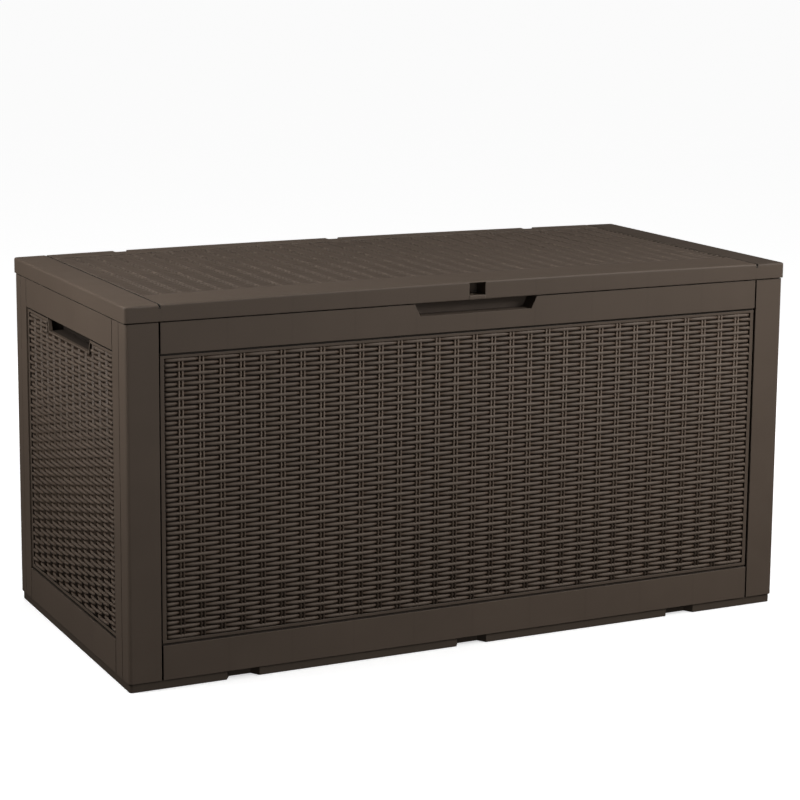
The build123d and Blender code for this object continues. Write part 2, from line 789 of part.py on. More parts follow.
# Screws. Each group holds the screws of one joint of the assembly
post_bite = 5
post_rises = (60, 280, 500)
tongue_face = tongue_depth + tongue_thickness
post_places = []
for side_x in (-1, 1):
    for side_y in (-1, 1):
        for rise in post_rises:
            height = plinth_height + rise
            front_seat = (
                side_x * (wall_x - post_front - tongue_reach / 2),
                side_y * (wall_y - tongue_face),
                height,
            )
            side_seat = (
                side_x * (wall_x - tongue_face),
                side_y * (wall_y - post_side - tongue_reach / 2),
                height,
            )
            post_places.append((front_seat, (0, side_y, 0), post_bite))
            post_places.append((side_seat, (side_x, 0, 0), post_bite))
save(screws(post_places), "post_screws")

# Under the tray's deck, between its ribs, up into the flanges of the wall panels
base_bite = tray_deck + flange - screw_tip_gap
base_inset = 13
base_bays_x = (-4.5, -2.5, -1.5, 1.5, 2.5, 4.5)
base_bays_y = (-0.5, 0.5)
base_places = []
for side in (-1, 1):
    for step in base_bays_x:
        seat = (step * tray_rib_pitch_x, side * (wall_y - base_inset), tray_under)
        base_places.append((seat, (0, 0, 1), base_bite))
    for step in base_bays_y:
        seat = (side * (wall_x - base_inset), step * tray_rib_pitch_y, tray_under)
        base_places.append((seat, (0, 0, 1), base_bite))
save(screws(base_places), "base_screws")

hinge_screw_x = 21
pad_bite = 8
skin_bite = 3
body_leaf_drops = (12, 38)
lid_leaf_screw_inset = 8
body_leaf_places = []
lid_leaf_places = []
for x in hinge_xs:
    for side in (-1, 1):
        for drop in body_leaf_drops:
            seat = (x + side * hinge_screw_x, leaf_face - leaf_thickness, wall_top - drop)
            body_leaf_places.append((seat, (0, 1, 0), leaf_thickness + pad_bite))
    for side in (-1, 0, 1):
        seat = (
            x + side * hinge_screw_x,
            lid_leaf_front + lid_leaf_screw_inset,
            skin_bottom - leaf_thickness,
        )
        lid_leaf_places.append((seat, (0, 0, 1), leaf_thickness + skin_bite))
save(screws(body_leaf_places), "hinge_body_screws")
save(screws(lid_leaf_places), "hinge_lid_screws")

bracket_screw_edge = 7
bracket_screw_x = ear_outer_x - bracket_run + bracket_screw_edge
bracket_places = []
for side_x in (-1, 1):
    for side_y in (-1, 1):
        seat = (
            side_x * bracket_screw_x,
            stay_pivot_y + side_y * (bracket_width / 2 - bracket_screw_edge),
            liner_bottom - bracket_plate,
        )
        bracket_places.append((seat, (0, 0, 1), bracket_plate + liner_thickness))
save(screws(bracket_places), "stay_bracket_screws")

liner_bite = plate_bottom - liner_bottom + skin_bite
liner_places = []
for step_x in (-1, 0, 1):
    for step_y in (-1, 0, 1):
        seat = (step_x * bay_pitch, liner_mid + step_y * liner_depth / 3, liner_bottom)
        liner_places.append((seat, (0, 0, 1), liner_bite))
save(screws(liner_places), "liner_screws")

tongue_places = []
for side in (-1, 1):
    seat = (
        side * tongue_screw_x,
        tongue_back + tongue_plate,
        plinth_height + grip_low + tongue_screw_rise,
    )
    tongue_places.append((seat, (0, -1, 0), tongue_plate + cup_wall - screw_tip_gap))
save(screws(tongue_places), "lock_tongue_screws")
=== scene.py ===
import json
import math
import random

import bmesh
import bpy
import numpy as np
from mathutils import Matrix, Vector


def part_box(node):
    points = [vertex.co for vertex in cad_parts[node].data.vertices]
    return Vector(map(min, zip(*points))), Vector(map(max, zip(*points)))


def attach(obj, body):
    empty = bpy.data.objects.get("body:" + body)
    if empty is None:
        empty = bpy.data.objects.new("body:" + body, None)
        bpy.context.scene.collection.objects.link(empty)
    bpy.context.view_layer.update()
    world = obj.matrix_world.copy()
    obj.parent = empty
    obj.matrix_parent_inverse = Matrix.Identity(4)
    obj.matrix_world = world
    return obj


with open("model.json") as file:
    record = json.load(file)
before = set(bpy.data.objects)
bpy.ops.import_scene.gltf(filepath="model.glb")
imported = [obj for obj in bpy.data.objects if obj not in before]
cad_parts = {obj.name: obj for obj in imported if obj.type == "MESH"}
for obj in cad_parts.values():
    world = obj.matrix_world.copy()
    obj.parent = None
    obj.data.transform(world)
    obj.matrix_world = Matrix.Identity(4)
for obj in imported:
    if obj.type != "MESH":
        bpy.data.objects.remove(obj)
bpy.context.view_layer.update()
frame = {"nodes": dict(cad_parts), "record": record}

random.seed(7)

MM = 0.001

# ---------------------------------------------------------------- materials

# A Mix node's sockets when it mixes colours
MIX_A, MIX_B, MIX_RESULT = 6, 7, 2
BEVEL_SAMPLES = 4
SKY_SAMPLES = 6


class Graph:
    """A short way to add and link shader nodes."""

    def __init__(self, name):
        self.material = bpy.data.materials.new(name)
        self.material.use_nodes = True
        self.tree = self.material.node_tree
        self.tree.nodes.clear()
        self.out = self.tree.nodes.new("ShaderNodeOutputMaterial")
        self.shader = self.tree.nodes.new("ShaderNodeBsdfPrincipled")
        self.link(self.shader.outputs[0], self.out.inputs["Surface"])

    def link(self, a, b):
        self.tree.links.new(a, b)

    def put(self, socket, value):
        if isinstance(value, bpy.types.NodeSocket):
            self.link(value, socket)
        else:
            socket.default_value = value

    def add(self, kind, inputs=None, **settings):
        node = self.tree.nodes.new("ShaderNode" + kind)
        for key, value in settings.items():
            setattr(node, key, value)
        for key, value in (inputs or {}).items():
            self.put(node.inputs[key], value)
        return node

    def surface(self, **inputs):
        """Sets the shader's inputs, with _ for each space in a name."""
        for key, value in inputs.items():
            self.put(self.shader.inputs[key.replace("_", " ")], value)

    def place(self):
        return self.add("TexCoord").outputs["Object"]

    def along(self, vector, axis):
        return self.add("SeparateXYZ", {"Vector": vector}).outputs[axis]

    def stretched(self, vector, scale):
        return self.add("Mapping", {"Vector": vector, "Scale": scale}).outputs[0]

    def noise(self, vector, scale, detail=3.0, rough=0.55):
        inputs = {"Vector": vector, "Scale": scale, "Detail": detail, "Roughness": rough}
        return self.add("TexNoise", inputs).outputs["Fac"]

    def math(self, operation, a, b=0.0, clamp=False):
        node = self.add("Math", {0: a, 1: b}, operation=operation, use_clamp=clamp)
        return node.outputs[0]

    def plus(self, a, b):
        return self.math("ADD", a, b)

    def minus(self, a, b, clamp=False):
        return self.math("SUBTRACT", a, b, clamp)

    def times(self, a, b, clamp=False):
        return self.math("MULTIPLY", a, b, clamp)

    def absolute(self, a):
        return self.math("ABSOLUTE", a)

    def spread(self, value, low, high, to_low, to_high):
        """Maps low to to_low and high to to_high, and holds it there beyond them."""
        inputs = {"Value": value, "From Min": low, "From Max": high}
        inputs.update({"To Min": to_low, "To Max": to_high})
        return self.add("MapRange", inputs).outputs[0]

    def swing(self, noise, within, by, middle=1.0):
        """Maps a noise that stays within so much of a half to values within by of middle."""
        return self.spread(noise, 0.5 - within, 0.5 + within, middle - by, middle + by)

    def from_whole(self, value, pitch):
        """How far the nearest whole number of pitches is, in pitches."""
        phase = self.math("FRACT", self.plus(self.math("DIVIDE", value, pitch), 100.5))
        return self.absolute(self.minus(phase, 0.5))

    def scaled(self, colour, tone):
        return self.add("VectorMath", {0: colour, "Scale": tone}, operation="SCALE").outputs[0]

    def mixed(self, factor, a, b):
        mix = self.add("Mix", {"Factor": factor, MIX_A: a, MIX_B: b}, data_type="RGBA")
        return mix.outputs[MIX_RESULT]

    def rounded(self, radius):
        """The surface's normal with its edges rounded."""
        return self.add("Bevel", {"Radius": radius}, samples=BEVEL_SAMPLES).outputs[0]

    def bumped(self, height, strength, depth, normal):
        inputs = {"Strength": strength, "Distance": depth, "Height": height, "Normal": normal}
        return self.add("Bump", inputs).outputs[0]

    def open_sky(self, reach):
        """How open a place is, from 0 in a closed corner to 1."""
        node = self.add("AmbientOcclusion", {"Distance": reach}, samples=SKY_SAMPLES)
        return node.outputs["AO"]


def rgb(r, g, b):
    """A linear colour from display values between 0 and 255."""
    values = [c / 255 for c in (r, g, b)]
    linear = [v / 12.92 if v <= 0.04045 else ((v + 0.055) / 1.055) ** 2.4 for v in values]
    return (*linear, 1.0)


RESIN = rgb(94, 81, 70)
EDGE_WEAR_AND_HIGHLIGHT = rgb(138, 124, 110)
WOVEN = rgb(101, 88, 77)
HOLLOW_SHADE = rgb(92, 66, 44)

# Noise scales per metre: slow drift, clouds, specks, spark-eroded grain, the breakup of the pale
# edges (wear and painted highlight), and the patches of painted crest highlight
DRIFT = 3.2
CLOUD = 21.0
SPECK = 330.0
GRAIN = 1150.0
EDGE_BREAKUP = 95.0
PATCHY = (60.0, 60.0, 60.0)
# Fibres: fine across a strand and drawn out along it
FIBRE = {"X": (55.0, 1400.0, 1400.0), "Y": (1400.0, 55.0, 1400.0)}

# Rib marks, with their half-width as a part of their pitch
RIB_PITCH = 109 * MM
RIB_HALF = 0.03
RIB_TONE = 0.95
RIB_SINK = 0.5

# Painted shade darkens seams and recesses up to this size, and the lid's two grooves
SEAM_SHADE_REACH = 8 * MM
GROOVE_HALF = 1.7 * MM
GROOVE_EDGE = 2.1 * MM
GROOVE_SHADE = 0.96

# Where the lid's end strip, painted darker as shade, begins past its groove, and its top above its
# skirt
STRIP_X = (545 * MM, 550 * MM)
STRIP_Z = (608.5 * MM, 611 * MM)

# A pale edge, partly wear and partly painted highlight, by how squarely the rounded normal meets
# the flat one: none, and full
EDGE_FACING = (0.995, 0.80)
# Noise breaks the pale edge up, from this much to all of it
EDGE_BROKEN = (0.35, 0.65, 0.35, 1.0)
EDGE_GLOSS = 0.12

RESIN_SPECULAR = 0.32
RESIN_BUMP = 0.35
RESIN_BUMP_DEPTH = 0.16 * MM
# What the bump is made of
GRAIN_BUMP = 0.7
SPECK_BUMP = 0.6
FIBRE_BUMP = 0.9

# Steel: dull patches, and fine scratches across X
PATCH = 60.0
SCRATCH = (2200.0, 160.0, 160.0)
STEEL_EDGE = 0.4 * MM
STEEL_BUMP = 0.3
STEEL_BUMP_DEPTH = 0.05 * MM

# The weave's pitch from one pair of stakes to the next
PAIR_PITCH = 34.15 * MM
# A strand carries a value between 0 and STRAND_VALUES, and a stake carries STAKE_VALUE
STRAND_VALUES = 0.9
STAKE_VALUE = 1.0
STAKE_FROM = (0.93, 0.99)
STRAND_TONES = (0.96, 1.04)
# Heights on the weave, as parts of its own: half way, and where the painted shade's warmer brown in
# the hollows fades out
HALF_WAY = 0.55
HOLLOW_RISE = (0.1, 0.7)
# Painted highlights on the crests: how near to a pair of stakes in pitches, how high, and in which
# patches
CREST_NEAR = (0.05, 0.11)
CREST_HIGH = (0.7, 0.95)
CREST_PATCHES = (0.5, 0.62)


def woven_tone(g, place, tone, axis, height_shade_and_sheen, stakes, crest_highlight):
    """The tone of strands and stakes, with painted shade low in the weave and a painted sheen on
    top. Also gives how high a point lies, and the fibres.
    """
    depth = g.add("Attribute", attribute_name="height").outputs["Fac"]
    strand = g.add("Attribute", attribute_name="strand").outputs["Fac"]
    fibre = g.noise(g.stretched(place, FIBRE[axis]), 1.0, 3.0, 0.6)
    bottom, half_way, top = height_shade_and_sheen
    # Painted shade low in the weave and a painted sheen high on it, by height
    lower = g.spread(depth, 0.0, HALF_WAY, bottom, half_way)
    upper = g.spread(depth, HALF_WAY, 1.0, 0.0, top - half_way)
    tone = g.times(tone, g.plus(lower, upper))
    tone = g.times(tone, g.spread(strand, 0.0, STRAND_VALUES, *STRAND_TONES))
    # Painted light and shade on the stakes: paler on the long walls, darker on the short ones
    tone = g.times(tone, g.spread(strand, *STAKE_FROM, 1.0, stakes))
    tone = g.times(tone, g.swing(fibre, within=0.25, by=0.06))
    if crest_highlight:
        # Painted highlight specks where a strand passes high over a pair of stakes
        away = g.from_whole(g.along(place, axis), PAIR_PITCH)
        near = g.spread(away, *CREST_NEAR, 1.0, 0.0)
        high = g.spread(depth, *CREST_HIGH, 0.0, 1.0)
        patchy = g.noise(g.stretched(place, PATCHY), 1.0, 2.0, 0.6)
        crest_glint = g.spread(patchy, *CREST_PATCHES, 0.0, crest_highlight)
        tone = g.plus(tone, g.times(g.times(near, high), crest_glint))
    return tone, depth, fibre


def resin(
    name,
    base=RESIN,
    ribs=None,
    edge_wear_and_highlight=0.5,
    reach=1.1 * MM,
    rough=0.58,
    weave=None,
    height_shade_and_sheen=(0.15, 1.06, 1.12),
    stakes=1.0,
    crest_highlight=0.0,
    seam_shade=(0.15, 0.66, 0.06),
    end_strip_shade=1.0,
    grooves=None,
):
    """Matte moulded resin: fine spark-eroded grain, slow colour drift, edges paled partly by wear
    and partly as a painted highlight, and painted shade in closed-in joints.

    ribs names the axis along which rib marks read through the skin.
    worn is how strongly the edges are paled, partly as wear and partly as a painted highlight, and
    reach is how far in from an edge.
    weave names the axis along which the strands of a woven field run.
    depths gives the weave's tone at the bottom, half way and on top: painted shade in the hollows
    and a painted sheen on the crests.
    stakes is how pale the stakes are painted beside the strands: paler as painted light on the long
    walls, darker as painted shade on the short ones.
    crests is how much paler a strand is painted, as a highlight, where it passes over a pair of
    stakes.
    seams gives how open a place is where the painted shade is deepest and where it ends, and
    that deepest tone.
    end_strip_shade is the tone of the painted shade on the lid's end strip past the right-hand
    groove.
    grooves gives how far the two grooves painted dark as shade lie from the middle, and above what
    height.
    """
    g = Graph(name)
    place = g.place()
    drift = g.noise(place, DRIFT, 2.0)
    cloud = g.noise(place, CLOUD, 4.0)
    grain = g.noise(place, GRAIN, 2.0, 0.6)
    speck = g.noise(place, SPECK, 3.0, 0.7)

    tone = g.swing(drift, within=0.2, by=0.045)
    tone = g.times(tone, g.swing(cloud, within=0.25, by=0.035))
    tone = g.times(tone, g.swing(speck, within=0.3, by=0.04))
    tone = g.times(tone, g.swing(grain, within=0.3, by=0.045))
    height = g.plus(g.times(grain, GRAIN_BUMP), g.times(speck, SPECK_BUMP))

    if ribs:
        away = g.from_whole(g.along(place, ribs), RIB_PITCH)
        mark = g.spread(away, 0.0, RIB_HALF, 1.0, 0.0)
        tone = g.times(tone, g.spread(mark, 0.0, 1.0, 1.0, RIB_TONE))
        height = g.minus(height, g.times(mark, RIB_SINK))

    colour = base[:3]
    if weave:
        tone, depth, fibre = woven_tone(g, place, tone, weave, height_shade_and_sheen, stakes, crest_highlight)
        height = g.plus(height, g.times(fibre, FIBRE_BUMP))
        # Painted shade: the hollows between the strands get a darker, warmer brown
        colour = g.mixed(g.spread(depth, *HOLLOW_RISE, 0.0, 1.0), HOLLOW_SHADE, base)
    else:
        # Painted shade: places closed in by nearby surfaces, such as seams and grooves, are
        # darkened
        closed, clear, darkest = seam_shade
        tone = g.times(tone, g.spread(g.open_sky(SEAM_SHADE_REACH), closed, clear, darkest, 1.0))
    # Painted shade: the top of the lid's end strip past the right-hand groove is darkened
    if end_strip_shade < 1.0:
        on_top = g.spread(g.along(place, "Z"), *STRIP_Z, 0.0, 1.0 - end_strip_shade)
        past_groove = g.spread(g.along(place, "X"), *STRIP_X, 0.0, 1.0)
        tone = g.times(tone, g.minus(1.0, g.times(on_top, past_groove)))
    # Painted shade along the lid's two grooves, on its top
    if grooves:
        off_middle, above = grooves
        away = g.absolute(g.minus(g.absolute(g.along(place, "X")), off_middle))
        groove_shade = g.spread(away, GROOVE_HALF, GROOVE_EDGE, 1.0, 0.0)
        on_top = g.spread(g.along(place, "Z"), above, above + MM, 0.0, GROOVE_SHADE)
        tone = g.times(tone, g.minus(1.0, g.times(groove_shade, on_top)))

    # Edges paled partly as wear and partly as a painted highlight, where the rounded normal turns
    # away from the flat one
    rounded = g.rounded(reach)
    flat = g.add("NewGeometry").outputs["Normal"]
    facing = g.add("VectorMath", {0: rounded, 1: flat}, operation="DOT_PRODUCT").outputs["Value"]
    edge = g.spread(facing, *EDGE_FACING, 0.0, 1.0)
    broken = g.spread(g.noise(place, EDGE_BREAKUP), *EDGE_BROKEN)
    edge = g.times(g.times(edge, broken), edge_wear_and_highlight, clamp=True)

    dull = g.swing(cloud, within=0.3, by=0.05, middle=rough)
    dull = g.plus(dull, g.swing(speck, within=0.3, by=0.04, middle=0.0))
    g.surface(
        Base_Color=g.mixed(edge, g.scaled(colour, tone), EDGE_WEAR_AND_HIGHLIGHT),
        Roughness=g.minus(dull, g.times(edge, EDGE_GLOSS), clamp=True),
        Specular_IOR_Level=RESIN_SPECULAR,
        Normal=g.bumped(height, RESIN_BUMP, RESIN_BUMP_DEPTH, rounded),
    )
    return g.material


def steel(name, base, rough, metal, brushed):
    """Plated or coated steel, with fine scratches and dull patches."""
    g = Graph(name)
    place = g.place()
    patch = g.noise(place, PATCH, 4.0)
    scratch = g.noise(g.stretched(place, SCRATCH), 1.0, 3.0, 0.7)
    tone = g.spread(patch, 0.25, 0.75, 0.86, 1.08)
    tone = g.times(tone, g.swing(scratch, within=0.25, by=brushed))
    g.surface(
        Base_Color=g.scaled(base[:3], tone),
        Metallic=metal,
        Roughness=g.spread(g.plus(patch, scratch), 0.6, 1.4, rough - 0.1, rough + 0.1),
        Normal=g.bumped(scratch, STEEL_BUMP, STEEL_BUMP_DEPTH, g.rounded(STEEL_EDGE)),
    )
    return g.material


smooth_resin = resin("resin")
front_resin = resin("resin_front_back", ribs="X")
side_resin = resin("resin_sides", ribs="Y", seam_shade=(0.3, 0.85, 0.05))
base_resin = resin("resin_base", base=rgb(79, 68, 58), ribs="X")
lid_resin = resin(
    "resin_lid",
    ribs="X",
    edge_wear_and_highlight=1.0,
    reach=2.4 * MM,
    seam_shade=(0.36, 0.82, 0.02),
    end_strip_shade=0.72,
    grooves=(547.5 * MM, 605 * MM),
)
inner_resin = resin("resin_inner", base=rgb(88, 78, 69), edge_wear_and_highlight=0.2, rough=0.62)
# The grip cup's recess gets a lighter painted shade than the walls
grip_resin = resin(
    "resin_grip", base=rgb(92, 80, 70), edge_wear_and_highlight=0.2, rough=0.62, seam_shade=(0.1, 0.6, 0.45)
)
# Painted shade: a much darker copy of the resin for the handle cups, standing in for the shade
# inside them
handle_shade_resin = resin("resin_handle_shade", base=rgb(50, 42, 35), edge_wear_and_highlight=0.1, rough=0.65)
hinge_resin = resin("resin_fittings", base=rgb(72, 64, 58), edge_wear_and_highlight=0.45, rough=0.5)
weave_x = resin("resin_weave_long", base=WOVEN, weave="X", edge_wear_and_highlight=0.0, stakes=1.15)
weave_y = resin(
    "resin_weave_short",
    base=WOVEN,
    weave="Y",
    edge_wear_and_highlight=0.0,
    height_shade_and_sheen=(0.2, 0.74, 0.95),
    stakes=0.88,
)
weave_lid = resin(
    "resin_weave_lid",
    base=WOVEN,
    weave="X",
    edge_wear_and_highlight=0.0,
    height_shade_and_sheen=(0.4, 0.6, 0.86),
    crest_highlight=0.75,
)
coated_steel = steel("coated_steel", rgb(70, 62, 55), rough=0.42, metal=0.0, brushed=0.05)
plated_steel = steel("plated_steel", rgb(190, 188, 184), rough=0.32, metal=1.0, brushed=0.12)

by_slot = {
    "resin": smooth_resin,
    "resin_inner": inner_resin,
    "hinge_resin": hinge_resin,
    "stay_steel": coated_steel,
    "pin_steel": plated_steel,
}
by_node = {
    "front_panel": front_resin,
    "back_panel": front_resin,
    "lid_shell": lid_resin,
    "base_tray": base_resin,
    "left_side_panel": side_resin,
    "right_side_panel": side_resin,
    "front_grip_cup": grip_resin,
    "left_handle_cup": handle_shade_resin,
    "right_handle_cup": handle_shade_resin,
}
slot_of = {part["node"]: part["material_slot"] for part in frame["record"]["subparts"]}
for name, node in frame["nodes"].items():
    node.data.materials.clear()
    node.data.materials.append(by_node.get(name, by_slot[slot_of[name]]))

# ---------------------------------------------------------------- woven fields

# The moulded weave: half-round strands over and under pairs of thin stakes
ROW_PITCH = 7.6 * MM
STAKE_OFFSET = 2.95 * MM
STAKE_HALF = 1.75 * MM
STRAND_HALF = 2.75 * MM
# How much a strand's half-width shrinks where it dips
SLIMMER = 0.35 * MM
# Space at the ends of a strand, and more of it where the strand ends low
END_GAP = 0.5 * MM
LOW_END_GAP = 1.2 * MM
# The least space beside the first and the last pair of stakes, both together
SIDE_SPACE = 48 * MM
PIT = 3.5 * MM
SUNK = 0.05 * MM
SLAB = 0.3 * MM
PIT_FLOOR = -PIT - SUNK
# A curved field's dark sheet of painted shade is made of this many flat ones
CROWN_PARTS = 32
# Where a strand is cut between two pairs of stakes, from the middle of the first pair
CUTS = np.array([-4.4, 4.4, 7.2, 11.5, 17.1, 22.6, 26.9]) * MM
# A strand's section: across in half-widths, and how far below its top in mm. None is the floor
SECTION = (
    (-1.0, None),
    (-1.0, 1.9),
    (-0.72, 0.7),
    (0.0, 0.0),
    (0.72, 0.7),
    (1.0, 1.9),
    (1.0, None),
)
# A strand whose top is nearer to the floor than this has a flatter section
FULL_SECTION = 2.4 * MM

# Steps from a wall panel's outer faces to its sunk field, as in the solids
BORDER = 6.5 * MM
END_BORDER = 8 * MM
STEP = 2.5 * MM
LOW_RAIL = 55.5 * MM
FIELD = 464.5 * MM
# How far the walls' strands stand off the field, and how far they dip
WALL_CREST = 0.9 * MM
WALL_DIP = 2.9 * MM
WALL_BEND = (0.42, 0.54)
# How far below the strands' tops the stakes' tops lie, as a part of the dip
STAKE_DROP = 0.24
SIDE_STAKE_DROP = 0.42
# Half the width that the handle and its rim take, and their low edge above the pit's
HANDLE_SPACE = (115.5 * MM, 429.5 * MM)

LID_CROWN = 3.5 * MM
LID_PIT_X = 543 * MM
LID_PIT_FRONT = -200 * MM
LID_PIT_BACK = 243 * MM
LID_CREST = 0.0
LID_DIP = 0.9 * MM
LID_BEND = (0.13, 0.5)

lid_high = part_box("lid_shell")[1]


class Relief:
    """Collects closed strands on one field. origin lies on it, and along cross up is outward."""

    def __init__(self, origin, along, up):
        self.origin, self.along, self.up = Vector(origin), Vector(along), Vector(up)
        self.out = self.along.cross(self.up)
        self.verts, self.faces, self.flat = [], [], []
        self.heights, self.tones = [], []
        self.count = 0

    def flat_face(self, corners):
        self.flat.append(len(self.faces))
        self.faces.append(list(corners))

    def strand(self, stations, tops, halves, middle, crest, upright=False):
        """One bar along the field, or upright on it. tops and halves go with the stations."""
        run, side = (self.up, -self.along) if upright else (self.along, self.up)
        centre = -middle if upright else middle
        run, side, out = (np.array(a) for a in (run, side, self.out))
        ring = len(SECTION)
        points = np.zeros((len(stations), ring, 3))
        levels = np.zeros((len(stations), ring))
        squeeze = np.minimum(1.0, (tops - PIT_FLOOR) / FULL_SECTION)
        for k, (across, drop) in enumerate(SECTION):
            if drop is None:
                level = np.full(len(stations), PIT_FLOOR)
            else:
                level = tops - drop * MM * squeeze
            offset = centre + across * halves
            points[:, k] = (
                np.array(self.origin)
                + stations[:, None] * run
                + offset[:, None] * side
                + level[:, None] * out
            )
            levels[:, k] = np.clip((level - PIT_FLOOR) / (crest - PIT_FLOOR), 0.0, 1.0)
        value = STAKE_VALUE if upright else STRAND_VALUES * random.random()
        self.verts.append(points.reshape(-1, 3))
        self.heights.append(levels.ravel())
        self.tones.append(np.full(levels.size, value))
        base = self.count
        steps = np.arange(len(stations) - 1)[:, None] * ring + base
        ks = np.arange(ring)[None, :]
        nxt = (ks + 1) % ring
        quads = [steps + ks, steps + ring + ks, steps + ring + nxt, steps + nxt]
        self.faces += np.stack(quads, axis=-1).reshape(-1, 4).tolist()
        self.flat_face(range(base, base + ring))
        last = base + (len(stations) - 1) * ring
        self.flat_face(range(last + ring - 1, last - 1, -1))
        self.count += len(stations) * ring

    def shade_sheet(self, low, high):
        """A thin dark sheet on the pit's floor, painted as shade by its height of 0, between two
        corners of the field.
        """
        corners = [
            self.origin + self.along * x + self.up * y + self.out * z
            for z in (PIT_FLOOR, PIT_FLOOR + SLAB)
            for x, y in (low, (high[0], low[1]), high, (low[0], high[1]))
        ]
        self.verts.append(np.array(corners))
        self.heights.append(np.zeros(8))
        self.tones.append(np.full(8, 0.5))
        sides = [(3, 2, 1, 0), (4, 5, 6, 7), (0, 1, 5, 4), (1, 2, 6, 5), (2, 3, 7, 6), (3, 0, 4, 7)]
        for side in sides:
            self.flat_face(self.count + k for k in side)
        self.count += 8

    def crowned(self, verts, drop, half):
        """Bends the field down towards its ends, by drop at half."""
        away = verts @ np.array(self.along) / half
        return verts - drop * (away * away)[:, None] * np.array(self.out)

    def build(self, name, body, material, crown):
        verts = np.concatenate(self.verts)
        if crown:
            verts = self.crowned(verts, *crown)
        mesh = bpy.data.meshes.new(name)
        mesh.from_pydata(verts.tolist(), [], self.faces)
        smooth = np.ones(len(self.faces), bool)
        smooth[self.flat] = False
        mesh.polygons.foreach_set("use_smooth", smooth)
        for label, values in (("height", self.heights), ("strand", self.tones)):
            layer = mesh.attributes.new(label, "FLOAT", "POINT")
            layer.data.foreach_set("value", np.concatenate(values).astype(np.float32))
        mesh.update()
        mesh.materials.append(material)
        piece = bpy.data.objects.new(name, mesh)
        bpy.context.scene.collection.objects.link(piece)
        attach(piece, body)


def strand_cuts(start, stop, first, pairs):
    """Stations along a strand: its two ends, and the cuts between them."""
    grid = (first + np.arange(-1, pairs)[:, None] * PAIR_PITCH + CUTS).ravel()
    inside = grid[(grid > start + MM) & (grid < stop - MM)]
    return np.concatenate(([start], inside, [stop]))


def woven(
    name,
    body,
    material,
    plane,
    size,
    crest,
    dip,
    bend,
    stake,
    hole=None,
    crown=None,
):
    """A woven field. Strands dip under every second pair of stakes.

    plane gives the field's first corner, the direction of its strands and that of its stakes.
    size gives its width along the strands, and its height.
    crest is how far the strands' tops stand off the field, and dip is how far they dip.
    bend says where a strand starts to dip and over what run, in pair pitches from the pair
    that it crosses.
    stake is how far below the crest the stakes' tops lie, as a part of the dip.
    hole gives the half-width and the low edge of a space to leave free in the middle.
    crown says how far the field bends down, and at what distance from the middle.
    """
    relief = Relief(*plane)
    width, height = size
    rows = round(height / ROW_PITCH)
    row_pitch = height / rows
    pairs = int((width - SIDE_SPACE) / PAIR_PITCH) + 1
    first = (width - (pairs - 1) * PAIR_PITCH) / 2
    free, free_low = hole or (0.0, height)
    left, right = width / 2 - free, width / 2 + free
    for row in range(rows):
        middle = (row + 0.5) * row_pitch
        spans = [(END_GAP, width - END_GAP)]
        if middle + row_pitch / 2 > free_low:
            spans = [(END_GAP, left), (right, width - END_GAP)]
        for start, stop in spans:
            stations = strand_cuts(start, stop, first, pairs)
            turn = (stations - first) / PAIR_PITCH + row % 2
            away = np.abs((turn + 1) % 2 - 1)
            low = np.clip((away - bend[0]) / bend[1], 0.0, 1.0)
            low = low * low * (3 - 2 * low)
            stations[0] += LOW_END_GAP * (away[0] > 0.5)
            stations[-1] -= LOW_END_GAP * (away[-1] > 0.5)
            relief.strand(stations, crest - dip * low, STRAND_HALF - SLIMMER * low, middle, crest)
    stake_tops = np.full(2, crest - stake * dip)
    stake_halves = np.full(2, STAKE_HALF)
    for pair in range(pairs):
        for side in (-1, 1):
            at = first + pair * PAIR_PITCH + side * STAKE_OFFSET
            top = free_low if left - STAKE_HALF < at < right + STAKE_HALF else height
            ends = np.array([END_GAP, top - END_GAP])
            relief.strand(ends, stake_tops, stake_halves, at, crest, upright=True)
    # A dark sheet of painted shade on the pit's floor
    parts = CROWN_PARTS if crown else 1
    for part in range(parts):
        relief.shade_sheet((width * part / parts, 0.0), (width * (part + 1) / parts, free_low))
    if hole:
        relief.shade_sheet((0.0, free_low), (left, height))
        relief.shade_sheet((right, free_low), (width, height))
    relief.build(name, body, material, crown)


def wall_weave(name, node, normal, material, stake, hole=None):
    """The woven field in a wall panel whose outer face looks along normal."""
    low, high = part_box(node)
    across = Vector((0, 0, 1)).cross(Vector(normal))
    width = abs((high - low).dot(across)) - 2 * BORDER
    height = FIELD - 2 * END_BORDER
    origin = Vector((0, 0, low.z + LOW_RAIL + END_BORDER))
    for i in range(2):
        if normal[i]:
            face = high[i] if normal[i] > 0 else low[i]
            origin[i] = face - normal[i] * STEP
        else:
            start = low[i] if across[i] > 0 else high[i]
            origin[i] = start + across[i] * BORDER
    plane = (origin, across, (0, 0, 1))
    size = (width, height)
    woven(name, "box", material, plane, size, WALL_CREST, WALL_DIP, WALL_BEND, stake, hole)


wall_weave("front_weave", "front_panel", (0, -1, 0), weave_x, STAKE_DROP)
wall_weave("back_weave", "back_panel", (0, 1, 0), weave_x, STAKE_DROP)
wall_weave("left_weave", "left_side_panel", (-1, 0, 0), weave_y, SIDE_STAKE_DROP, HANDLE_SPACE)
wall_weave("right_weave", "right_side_panel", (1, 0, 0), weave_y, SIDE_STAKE_DROP, HANDLE_SPACE)
woven(
    "lid_weave",
    "lid",
    weave_lid,
    ((-LID_PIT_X, LID_PIT_FRONT, lid_high.z), (1, 0, 0), (0, 1, 0)),
    (2 * LID_PIT_X, LID_PIT_BACK - LID_PIT_FRONT),
    LID_CREST,
    LID_DIP,
    LID_BEND,
    STAKE_DROP,
    crown=(LID_CROWN, lid_high.x),
)

# ---------------------------------------------------------------- setting

STUDIO = 0.93
FLOOR_COLOUR = (0.90, 0.90, 0.895)
FLOOR_SIZE = 60.0
# How far below the object's feet the floor lies
FLOOR_DROP = 0.8 * MM
